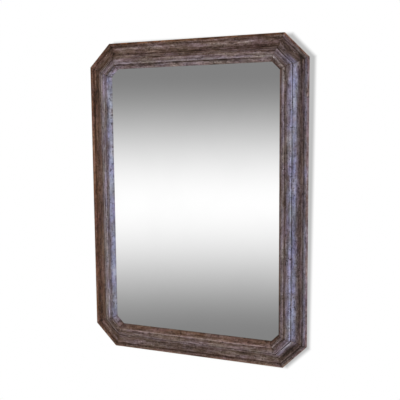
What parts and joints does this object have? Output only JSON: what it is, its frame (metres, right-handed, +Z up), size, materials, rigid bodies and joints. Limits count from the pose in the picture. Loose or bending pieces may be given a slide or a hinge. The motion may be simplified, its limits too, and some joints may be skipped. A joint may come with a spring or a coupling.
{
  "type": "octagonal wall mirror",
  "caption": "Tall wall mirror with canted corners: a wide mitred wooden moulding with a worn patina round a flat plate, closed by a buttoned back panel and hung on rings.",
  "frame": {"origin": "on the wall plane that the bumpers' faces touch, midway between the two wall hooks and level with the seats of the hanging rings", "axes": "+Z up along the mirror's height, +Y from the room into the wall, so the plate faces -Y; +X to the right as seen from the room"},
  "size_m": [0.65, 0.0348, 0.9],
  "materials": {
    "patinated_wood": "worn limed paint over dark wood, matte",
    "tongue_wood": "bare beech",
    "silvered_glass": "polished, silvered on the back",
    "felt": "felted",
    "plywood": "bare plywood, aged",
    "brass": "dull brass",
    "brass_screw": "dull brass",
    "steel": "zinc plated",
    "steel_screw": "zinc plated",
    "rubber": "matte"
  },
  "bodies": {
    "mirror": {"top_rail": "patinated_wood", "top_right_cant": "patinated_wood", "right_stile": "patinated_wood", "bottom_right_cant": "patinated_wood", "bottom_rail": "patinated_wood", "bottom_left_cant": "patinated_wood", "left_stile": "patinated_wood", "top_left_cant": "patinated_wood", "top_rail_mitre_tongue": "tongue_wood", "top_right_cant_mitre_tongue": "tongue_wood", "right_stile_mitre_tongue": "tongue_wood", "bottom_right_cant_mitre_tongue": "tongue_wood", "bottom_rail_mitre_tongue": "tongue_wood", "bottom_left_cant_mitre_tongue": "tongue_wood", "left_stile_mitre_tongue": "tongue_wood", "top_left_cant_mitre_tongue": "tongue_wood", "mirror_plate": "silvered_glass", "felt_sheet": "felt", "back_panel": "plywood", "turn_button_screws": "brass_screw", "left_hanger_strap": "steel", "left_wall_bumper": "rubber", "right_hanger_strap": "steel", "right_wall_bumper": "rubber", "hanger_screws": "steel_screw"},
    "left_stile_upper_button": {"left_stile_upper_button": "brass"},
    "left_stile_middle_button": {"left_stile_middle_button": "brass"},
    "left_stile_lower_button": {"left_stile_lower_button": "brass"},
    "right_stile_upper_button": {"right_stile_upper_button": "brass"},
    "right_stile_middle_button": {"right_stile_middle_button": "brass"},
    "right_stile_lower_button": {"right_stile_lower_button": "brass"},
    "top_rail_left_button": {"top_rail_left_button": "brass"},
    "top_rail_right_button": {"top_rail_right_button": "brass"},
    "bottom_rail_left_button": {"bottom_rail_left_button": "brass"},
    "bottom_rail_right_button": {"bottom_rail_right_button": "brass"},
    "left_hanging_ring": {"left_hanging_ring": "steel"},
    "right_hanging_ring": {"right_hanging_ring": "steel"}
  },
  "joints": [
    {"name": "left_stile_upper_button_turn", "type": "hinge", "parent": "mirror", "child": "left_stile_upper_button", "pos_m": [-0.2713, -0.0052, 0.0477], "axis": [0, 1, 0], "continuous": true},
    {"name": "left_stile_middle_button_turn", "type": "hinge", "parent": "mirror", "child": "left_stile_middle_button", "pos_m": [-0.2713, -0.0052, -0.2403], "axis": [0, 1, 0], "continuous": true},
    {"name": "left_stile_lower_button_turn", "type": "hinge", "parent": "mirror", "child": "left_stile_lower_button", "pos_m": [-0.2713, -0.0052, -0.5283], "axis": [0, 1, 0], "continuous": true},
    {"name": "right_stile_upper_button_turn", "type": "hinge", "parent": "mirror", "child": "right_stile_upper_button", "pos_m": [0.2713, -0.0052, 0.0477], "axis": [0, 1, 0], "continuous": true},
    {"name": "right_stile_middle_button_turn", "type": "hinge", "parent": "mirror", "child": "right_stile_middle_button", "pos_m": [0.2713, -0.0052, -0.2403], "axis": [0, 1, 0], "continuous": true},
    {"name": "right_stile_lower_button_turn", "type": "hinge", "parent": "mirror", "child": "right_stile_lower_button", "pos_m": [0.2713, -0.0052, -0.5283], "axis": [0, 1, 0], "continuous": true},
    {"name": "top_rail_left_button_turn", "type": "hinge", "parent": "mirror", "child": "top_rail_left_button", "pos_m": [-0.13975, -0.0052, 0.156], "axis": [0, 1, 0], "continuous": true},
    {"name": "top_rail_right_button_turn", "type": "hinge", "parent": "mirror", "child": "top_rail_right_button", "pos_m": [0.13975, -0.0052, 0.156], "axis": [0, 1, 0], "continuous": true},
    {"name": "bottom_rail_left_button_turn", "type": "hinge", "parent": "mirror", "child": "bottom_rail_left_button", "pos_m": [-0.13975, -0.0052, -0.6366], "axis": [0, 1, 0], "continuous": true},
    {"name": "bottom_rail_right_button_turn", "type": "hinge", "parent": "mirror", "child": "bottom_rail_right_button", "pos_m": [0.13975, -0.0052, -0.6366], "axis": [0, 1, 0], "continuous": true},
    {"name": "left_hanging_ring_swing", "type": "hinge", "parent": "mirror", "child": "left_hanging_ring", "pos_m": [-0.275, -0.00345, -0.01999], "axis": [-1, 0, 0], "range_deg": [0, 178]},
    {"name": "right_hanging_ring_swing", "type": "hinge", "parent": "mirror", "child": "right_hanging_ring", "pos_m": [0.275, -0.00345, -0.01999], "axis": [-1, 0, 0], "range_deg": [0, 178]}
  ]
}
